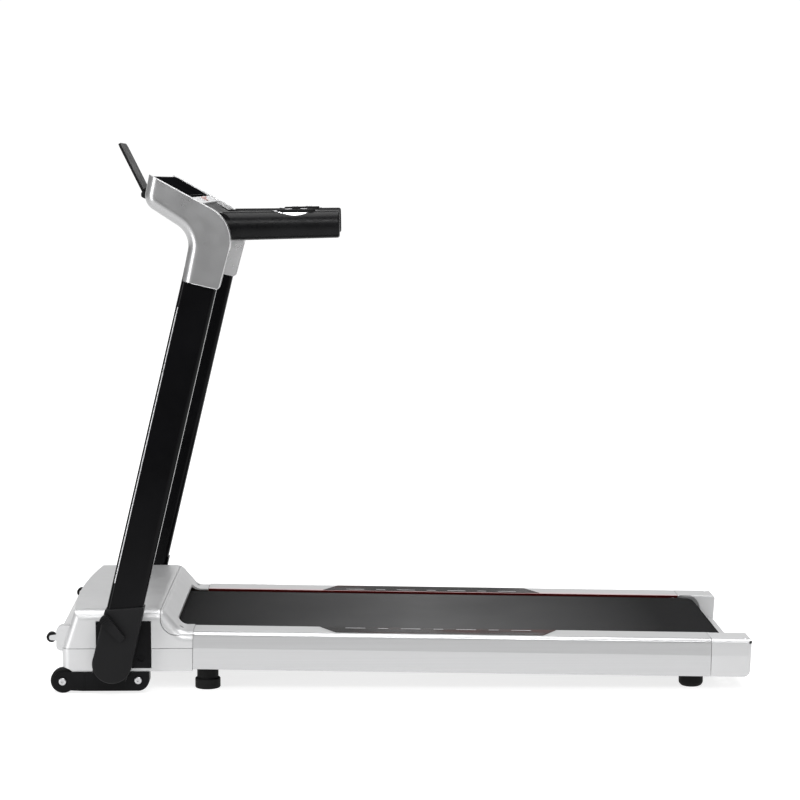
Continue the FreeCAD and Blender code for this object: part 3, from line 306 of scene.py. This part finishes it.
def bare_steel(name, rgb=(0.5, 0.5, 0.51), rough=0.3, stretch=(1, 1, 1)):
    finish = Finish(name, rough, metallic=1.0)
    grain = finish.noise(150.0, 3.0, stretch=stretch)
    finish.base(finish.colour(grain, shades(rgb, 0.1)))
    finish.rough(finish.remap(grain, rough - 0.06, rough + 0.08))
    finish.relief(grain, 0.00003)
    return finish.material


def chrome():
    finish = Finish("chrome_plate", 0.08, metallic=1.0)
    finish.base(finish.colour(finish.noise(14.0), shades((0.72, 0.72, 0.74), 0.03)))
    finish.rough(finish.remap(finish.noise(80.0), 0.06, 0.14))
    return finish.material


def display_glass():
    """Black acrylic front."""
    finish = Finish("display_glass", 0.3, specular=0.0)
    finish.base(finish.colour(finish.noise(10.0), shades((0.003, 0.003, 0.0035), 0.2)))
    finish.rough(finish.remap(finish.noise(30.0), 0.25, 0.35))
    return finish.material


def sealed_board():
    finish = Finish("sealed_board", 0.5)
    grain = finish.wave(9.0, "Y", stretch=(0.2, 1.0, 1.0), distortion=4.0)
    finish.base(finish.colour(grain, [(0.2, (0.2, 0.13, 0.07)), (0.8, (0.29, 0.2, 0.12))]))
    finish.relief(finish.noise(300.0), 0.0001)
    return finish.material


def circuit_board():
    finish = Finish("circuit_board", 0.4, coat=0.4)
    traces = finish.voronoi(180.0)
    finish.base(finish.colour(traces, [(0.1, (0.02, 0.16, 0.07)), (0.6, (0.01, 0.07, 0.035))]))
    finish.relief(traces, 0.0002)
    return finish.material


def plain_moulding(name, rgb, rough=0.35):
    finish = Finish(name, rough, coat=0.15)
    finish.base(finish.colour(finish.noise(30.0), shades(rgb, 0.06)))
    finish.rough(finish.remap(finish.noise(90.0), rough - 0.05, rough + 0.07))
    finish.relief(finish.noise(1200.0, 1.0), 0.00004)
    return finish.material


MATERIALS = {
    "silver_plastic": silver_paint(),
    "silver_aluminium": rail_aluminium(),
    "black_gloss_tube": gloss_black(),
    "black_frame": black_frame(),
    "black_plastic": moulded_black("moulded_black", (0.008, 0.008, 0.0085)),
    "black_rubber": soft_rubber("black_rubber", (0.006, 0.006, 0.006)),
    "grip_foam": soft_rubber("grip_foam", (0.005, 0.005, 0.0055), 0.3),
    "belt_fabric": running_surface(),
    "strip_grip": grip_strip(),
    "steel": bare_steel("bare_steel"),
    "chrome_plate": chrome(),
    "display_glass": display_glass(),
    "deck_wood": sealed_board(),
    "board_green": circuit_board(),
    "key_grey": plain_moulding("key_grey", (0.42, 0.42, 0.43)),
    "red_plastic": plain_moulding("red_plastic", (0.45, 0.012, 0.012), 0.3),
}
ARM_PAINT = arm_paint()
NODE_MATERIALS = {
    "console_arm_left": ARM_PAINT,
    "console_arm_right": ARM_PAINT,
    "safety_key": plain_moulding("safety_key_plastic", (0.5, 0.33, 0.31), 0.3),
}


def dress_nodes():
    """Gives every carried-over node its own material, or that of its record slot."""
    for part in frame["record"]["subparts"]:
        node = frame["nodes"][part["node"]]
        for slot in node.material_slots:
            slot.material = NODE_MATERIALS.get(part["node"], MATERIALS[part["material_slot"]])


# Blender-built details

def surface(node, place, direction):
    """Where a ray meets a node, and the surface direction there."""
    hit, spot, normal, face = frame["nodes"][node].ray_cast(Vector(place), Vector(direction))
    if not hit:
        raise ValueError("no surface of " + node + " at " + str(tuple(place)))
    return spot, normal


def add_piece(name, data, body, slot_name):
    piece = bpy.data.objects.new(name, data)
    bpy.context.collection.objects.link(piece)
    data.materials.append(MATERIALS[slot_name])
    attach(piece, body)
    return piece


def tube_piece(name, runs, radius, body, slot_name):
    """A fine bead along runs of points."""
    curve = bpy.data.curves.new(name, "CURVE")
    curve.dimensions = "3D"
    curve.bevel_depth = radius
    curve.bevel_resolution = 3
    curve.use_fill_caps = True
    for run in runs:
        spline = curve.splines.new("POLY")
        spline.points.add(len(run) - 1)
        for point, place in zip(spline.points, run):
            point.co = (*place, 1.0)
    return add_piece(name, curve, body, slot_name)


def rim_runs(node, outer_face_painted_shade):
    """Chains of the sharp edges that bound a node's flat outer face."""
    mesh = frame["nodes"][node].data
    form = bmesh.new()
    form.from_mesh(mesh)
    bmesh.ops.remove_doubles(form, verts=form.verts, dist=0.00001)
    keep = [e for e in form.edges if len(e.link_faces) == 2
            and all(abs(v.co.y - outer_face_painted_shade) < 0.0002 for v in e.verts)
            and e.calc_face_angle(0.0) > math.radians(50)]
    links = {}
    for edge in keep:
        a, b = edge.verts
        links.setdefault(a.index, []).append(b.index)
        links.setdefault(b.index, []).append(a.index)
    form.verts.ensure_lookup_table()
    runs = []
    seen = set()
    starts = sorted(links, key=lambda index: (len(links[index]), index))
    for start in starts:
        if start in seen:
            continue
        chain = [start]
        seen.add(start)
        while True:
            onward = [n for n in links[chain[-1]] if n not in seen]
            if not onward:
                break
            chain.append(onward[0])
            seen.add(onward[0])
        if len(chain) > 1:
            runs.append([form.verts[index].co.copy() for index in chain])
    form.free()
    return runs


def add_arm_rims():
    for side, word in (("left", "low"), ("right", "high")):
        node = "console_arm_" + side
        tube_piece("arm_rim_" + side, rim_runs(node, corner(node, y=word).y), 0.0007,
                   "mast", "silver_plastic")


def slab(form, centre, along, across, half_length, half_width, height, taper=0.25):
    """One low bar with sloping sides, laid on a surface."""
    up = along.cross(across)
    ring = []
    for level, grow in ((0.0, 1.0), (height, 1.0 - taper)):
        corners = [(-1, -1), (1, -1), (1, 1), (-1, 1)]
        for i, j in corners:
            ring.append(form.verts.new(centre + along * (half_length - half_width * (1 - grow)) * i
                                       + across * half_width * grow * j + up * level))
    form.faces.new(ring[4:])
    form.faces.new(ring[3::-1])
    for i in range(4):
        form.faces.new((ring[i], ring[(i + 1) % 4], ring[4 + (i + 1) % 4], ring[4 + i]))


DASH_COUNT = 7


def add_grip_dashes():
    """Broken raised ribs along each grip strip's inner side."""
    low, high = corner("grip_strips", "low"), corner("grip_strips", "high")
    for side, sign in (("left", -1), ("right", 1)):
        form = bmesh.new()
        pitch = (high.x - low.x) * 0.82 / DASH_COUNT
        for index in range(DASH_COUNT):
            middle = (low.x + high.x) / 2 + pitch * (index - (DASH_COUNT - 1) / 2)
            half = pitch * (0.36 if index % 2 == 0 else 0.18)
            y = sign * (RAIL_INNER_WALL + 0.014)
            spot, normal = surface("grip_strips", (middle, y, 0.3), (0, 0, -1))
            across = Vector((0, 1, 0))
            along = across.cross(normal).normalized()
            slab(form, spot - normal * 0.0001, along, across, half, 0.0012, 0.0005)
        bmesh.ops.recalc_face_normals(form, faces=form.faces)
        mesh = bpy.data.meshes.new("grip_dashes_" + side)
        form.to_mesh(mesh)
        form.free()
        add_piece("grip_dashes_" + side, mesh, "deck", "key_grey")


def dome(form, spot, normal, wide, tall, up_hint, rise):
    """A shallow oval button on a surface."""
    across = up_hint.cross(normal).normalized()
    up = normal.cross(across).normalized()
    rings = []
    for share, height in ((1.0, -0.0004), (0.96, rise * 0.7), (0.8, rise), (0.4, rise * 0.8)):
        ring = []
        for i in range(28):
            angle = math.tau * i / 28
            ring.append(form.verts.new(spot + across * math.cos(angle) * wide * share
                                       + up * math.sin(angle) * tall * share + normal * height))
        rings.append(ring)
    for lower, upper in zip(rings, rings[1:]):
        for i in range(28):
            form.faces.new((lower[i], lower[(i + 1) % 28], upper[(i + 1) % 28], upper[i]))
    form.faces.new(rings[-1])
    form.faces.new(rings[0][::-1])


def add_tube_highlight_strips():
    """Slim bright steel strip along the front outer corner of each mast tube, standing in for the
    highlight on the tube's rounded corner: a painted highlight.
    """
    for side, sign in (("left", -1), ("right", 1)):
        node = "upright_" + side
        low, high = corner(node, "low", "low", "low"), corner(node, "high", "high", "high")
        outer = max(abs(low.y), abs(high.y))
        run = []
        for share in (0.24, 0.5, 0.74, 0.9):
            z = low.z + (high.z - low.z) * share
            front, normal = surface(node, (low.x - 0.2, (low.y + high.y) / 2, z), (1, 0, 0))
            run.append((front.x + 0.0052, sign * (outer - 0.0020), z))
        # Painted highlight: a bright strip set where the gloss tube only shows a reflection.
        tube_piece("tube_highlight_strip_" + side, [run], 0.0016, "mast", "steel")


def add_cap_recess_shades():
    """Shallow black oval domes on the rear cover's corners, dark pieces standing in for the shade
    in an oval recess: painted shade.
    """
    edge = corner("rear_cover", "high")
    for side, sign in (("left", -1), ("right", 1)):
        start = Vector((edge.x + 0.1, sign * (abs(corner("rear_cover", y="high").y) + 0.1), 0.098))
        spot, normal = surface("rear_cover", start, Vector((-1, -sign, 0)).normalized())
        form = bmesh.new()
        # Painted shade: a dark oval set where the cover only has a shaded recess.
        dome(form, spot, normal, 0.0055, 0.0032, Vector((0, 0, 1)), 0.0004)
        mesh = bpy.data.meshes.new("cap_recess_shade_" + side)
        form.to_mesh(mesh)
        form.free()
        add_piece("cap_recess_shade_" + side, mesh, "deck", "black_plastic")


def add_display_frame():
    """Thin bead round the display's black front, and printed marks on the key strip."""
    low, high = (Vector(v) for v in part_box("display_panel"))
    half = high.y - 0.004
    front, rear = ([surface("display_panel", (x, y, 1.3), (0, 0, -1))[0] for y in (-half, half)]
                   for x in (low.x + 0.005, high.x - 0.005))
    tube_piece("display_bead", [[front[0], front[1], rear[1], rear[0], front[0]]], 0.0006,
               "mast", "black_plastic")
    form = bmesh.new()
    middle = corner("key_strip").x
    for y in (-0.24, -0.2, -0.16, -0.12, 0.12, 0.16, 0.2, 0.24):
        spot, normal = surface("key_strip", (middle, y, 1.3), (0, 0, -1))
        across = Vector((0, 1, 0))
        along = across.cross(normal).normalized()
        slab(form, spot - normal * 0.0001, along, across, 0.0035, 0.007, 0.0004)
        dome(form, spot + normal * 0.0003, normal, 0.0018, 0.0018, Vector((1, 0, 0)), 0.0004)
    bmesh.ops.recalc_face_normals(form, faces=form.faces)
    mesh = bpy.data.meshes.new("key_marks")
    form.to_mesh(mesh)
    form.free()
    add_piece("key_marks", mesh, "mast", "key_grey")


# Camera, light and floor

def aim(thing, target):
    direction = Vector(target) - thing.location
    thing.rotation_euler = direction.to_track_quat("-Z", "Y").to_euler()


def add_camera():
    camera = bpy.data.objects.new("camera", bpy.data.cameras.new("camera"))
    bpy.context.collection.objects.link(camera)
    camera.location = CAMERA_PLACE
    camera.data.sensor_width = 36.0
    camera.data.lens = 36.0 * FOCAL_IN_FRAMES
    camera.data.clip_end = 60.0
    camera.rotation_euler = (math.radians(90 - CAMERA_PITCH), 0.0, -math.radians(CAMERA_YAW))
    bpy.context.scene.camera = camera


def add_softbox(name, place, target, width, height, watts):
    light = bpy.data.lights.new(name, "AREA")
    light.shape = "RECTANGLE"
    light.size = width
    light.size_y = height
    light.energy = watts
    box = bpy.data.objects.new(name, light)
    bpy.context.collection.objects.link(box)
    box.location = place
    aim(box, target)
    return box


def add_world():
    """Studio surround: dim all round, with a bright backdrop behind the object."""
    world = bpy.data.worlds.new("studio")
    world.use_nodes = True
    tree = world.node_tree
    direction = tree.nodes.new("ShaderNodeTexCoord").outputs["Generated"]
    parts = tree.nodes.new("ShaderNodeSeparateXYZ")
    tree.links.new(direction, parts.inputs[0])
    ramp = tree.nodes.new("ShaderNodeMapRange")
    ramp.interpolation_type = "SMOOTHSTEP"
    for key, value in (("From Min", 0.72), ("From Max", 0.975), ("To Min", 0.3), ("To Max", 1.05)):
        ramp.inputs[key].default_value = value
    tree.links.new(parts.outputs["Y"], ramp.inputs["Value"])
    background = tree.nodes["Background"]
    background.inputs["Color"].default_value = (1.0, 1.0, 1.0, 1.0)
    tree.links.new(ramp.outputs["Result"], background.inputs["Strength"])
    bpy.context.scene.world = world


def add_lights():
    add_softbox("top_softbox", (0.1, -0.2, 3.4), (0.0, 0.0, 0.2), 3.4, 2.2, 122)
    add_softbox("front_strip", (0.1, -3.1, 2.3), (0.0, -0.2, 0.8), 2.4, 0.5, 46)
    add_softbox("left_softbox", (-2.8, -2.2, 1.2), (-0.4, -0.3, 0.7), 0.9, 2.4, 50)
    add_softbox("right_softbox", (3.2, -2.0, 1.4), (0.2, -0.3, 0.4), 0.8, 2.0, 16)
    bpy.context.scene.view_settings.view_transform = "Standard"


FLOOR_SIZE = 14.0
FLOOR_BRIGHT_TO = -1.25
FLOOR_GLOW_NEAR = 0.8


def add_floor():
    """Pale floor that fades to grey well in front of the object."""
    mesh = bpy.data.meshes.new("floor")
    size = FLOOR_SIZE
    mesh.from_pydata([(-size, -size, 0), (size, -size, 0), (size, size, 0), (-size, size, 0)],
                     [], [(0, 1, 2, 3)])
    floor = bpy.data.objects.new("floor", mesh)
    bpy.context.collection.objects.link(floor)
    finish = Finish("studio_floor", 0.7, specular=0.2)
    fade = finish.remap(finish.axis("Y"), 0.0, 1.0, FLOOR_BRIGHT_TO - 2.2, FLOOR_BRIGHT_TO)
    cloud = finish.colour(finish.noise(2.0), shades((0.4, 0.4, 0.4), 0.004))
    finish.base(finish.mix(fade, (0.22, 0.22, 0.22), cloud))
    far = finish.remap(finish.axis("Y"), 0.0, 1.0, 0.4, 3.0)
    glow = finish.remap(far, FLOOR_GLOW_NEAR, 1.0, 0.0, 1.0)
    finish.link(finish.math("MULTIPLY", fade, glow), finish.shader.inputs["Emission Strength"])
    finish.set("Emission Color", (1.0, 1.0, 1.0, 1.0))
    mesh.materials.append(finish.material)


dress_nodes()
add_arm_rims()
add_grip_dashes()
add_tube_highlight_strips()
add_cap_recess_shades()
add_display_frame()
add_camera()
add_world()
add_lights()
add_floor()
